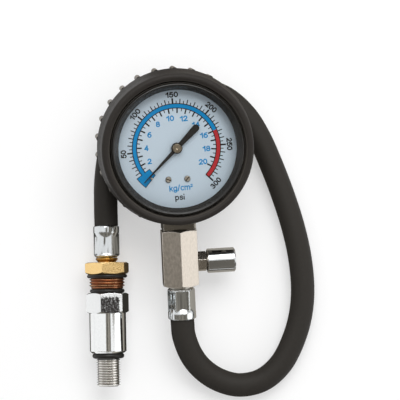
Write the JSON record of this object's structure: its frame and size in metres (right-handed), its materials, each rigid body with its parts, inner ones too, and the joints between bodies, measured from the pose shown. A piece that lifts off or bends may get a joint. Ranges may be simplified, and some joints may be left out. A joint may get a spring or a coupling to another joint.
{
  "type": "compression tester gauge",
  "caption": "Dial pressure gauge in a rubber boot on a hex tee with a push release valve, and a looped hose to a stepped plug with a screwed-on spark plug adapter.",
  "frame": {"origin": "centre of the flat pad on the back of the gauge's case, on the pointer's axis", "axes": "+Z out of the dial along the pointer's axis, +Y from the dial's centre to twelve o'clock, the tee hanging along -Y. The part lies on its back over its own hose; the hose and the plug lie in one plane, from which the dial leans back by about 9 degrees."},
  "size_m": [0.1164, 0.1692, 0.0507],
  "materials": {
    "boot_rubber": "satin",
    "case_paint": "satin",
    "bezel_paint": "semi-gloss",
    "lens_clear": "clear",
    "dial_paint": "matt",
    "pointer_paint": "matt",
    "steel": "turned",
    "cap_metal": "turned",
    "movement_brass": "stamped",
    "tube_bronze": "drawn",
    "link_steel": "stamped",
    "spring_steel": "drawn",
    "socket_nickel": "plated",
    "tee_nickel": "satin nickel plate",
    "chrome": "polished",
    "hose_rubber": "satin",
    "fitting_brass": "turned",
    "seal_rubber": "satin"
  },
  "bodies": {
    "gauge": {"rubber_boot": "boot_rubber", "gauge_case": "case_paint", "bezel_ring": "bezel_paint", "lens": "lens_clear", "dial_plate": "dial_paint", "dial_screws": "steel", "stop_pin": "steel", "bourdon_tube": "tube_bronze", "hairspring": "spring_steel", "lower_plate": "movement_brass", "upper_plate": "movement_brass", "plate_pillars": "movement_brass", "movement_screws": "steel", "socket": "socket_nickel", "tee_body": "tee_nickel", "valve_body": "chrome", "valve_spring": "spring_steel", "hose_nipple": "tee_nickel", "gauge_ferrule": "chrome", "hose": "hose_rubber", "plug_ferrule": "chrome", "plug_fitting": "fitting_brass", "hex_o_ring": "seal_rubber", "nose_o_ring": "seal_rubber", "core_body": "movement_brass", "core_spring": "spring_steel"},
    "pointer_shaft": {"pointer": "pointer_paint", "pointer_cap": "cap_metal", "pinion": "movement_brass"},
    "sector": {"sector_gear": "movement_brass"},
    "link_bar": {"link": "link_steel"},
    "tube_end": {"tube_tip": "movement_brass"},
    "release_button": {"button_cap": "chrome", "valve_pin": "steel", "valve_seal": "seal_rubber"},
    "check_valve": {"core_pin": "steel", "core_seal": "seal_rubber"},
    "plug_adapter": {"adapter": "chrome", "adapter_o_ring": "seal_rubber"}
  },
  "joints": [
    {"name": "pointer_sweep", "type": "hinge", "parent": "gauge", "child": "pointer_shaft", "pos_m": [0, 0, 0.02], "axis": [0, 0, -1], "range_deg": [0, 268.4], "stiffness_Nm_per_rad": 0.0005, "springref_deg": -11.46, "deforming": ["hairspring", "bourdon_tube"]},
    {"name": "sector_swing", "type": "hinge", "parent": "gauge", "child": "sector", "pos_m": [0.008, -0.01386, 0.0155], "axis": [0, 0, 1], "range_deg": [0, 38.4]},
    {"name": "link_swing", "type": "hinge", "parent": "sector", "child": "link_bar", "pos_m": [0.01323, -0.01991, 0.0145], "axis": [0, 0, -1], "range_deg": [0, 38.4]},
    {"name": "tip_swing", "type": "hinge", "parent": "gauge", "child": "tube_end", "pos_m": [0, 0, 0.0082], "axis": [0, 0, 1], "range_deg": [0, 14]},
    {"name": "release_press", "type": "slide", "parent": "gauge", "child": "release_button", "axis": [-1, 0, 0], "range_m": [0, 0.003], "stiffness_N_per_m": 1500, "springref_m": -0.002, "deforming": ["valve_spring"]},
    {"name": "check_valve_lift", "type": "slide", "parent": "gauge", "child": "check_valve", "axis": [0.0413, 0.9857, -0.1633], "range_m": [0, 0.0012], "stiffness_N_per_m": 300, "springref_m": -0.001, "deforming": ["core_spring"]},
    {"name": "adapter_unscrew", "type": "slide", "parent": "gauge", "child": "plug_adapter", "axis": [-0.0413, -0.9857, 0.1633], "range_m": [0, 0.013]}
  ],
  "couplings": [
    {"joint": "sector_swing", "follows": "pointer_sweep", "ratio": 0.14286},
    {"joint": "link_swing", "follows": "pointer_sweep", "ratio": 0.14286},
    {"joint": "tip_swing", "follows": "pointer_sweep", "ratio": 0.052122}
  ]
}
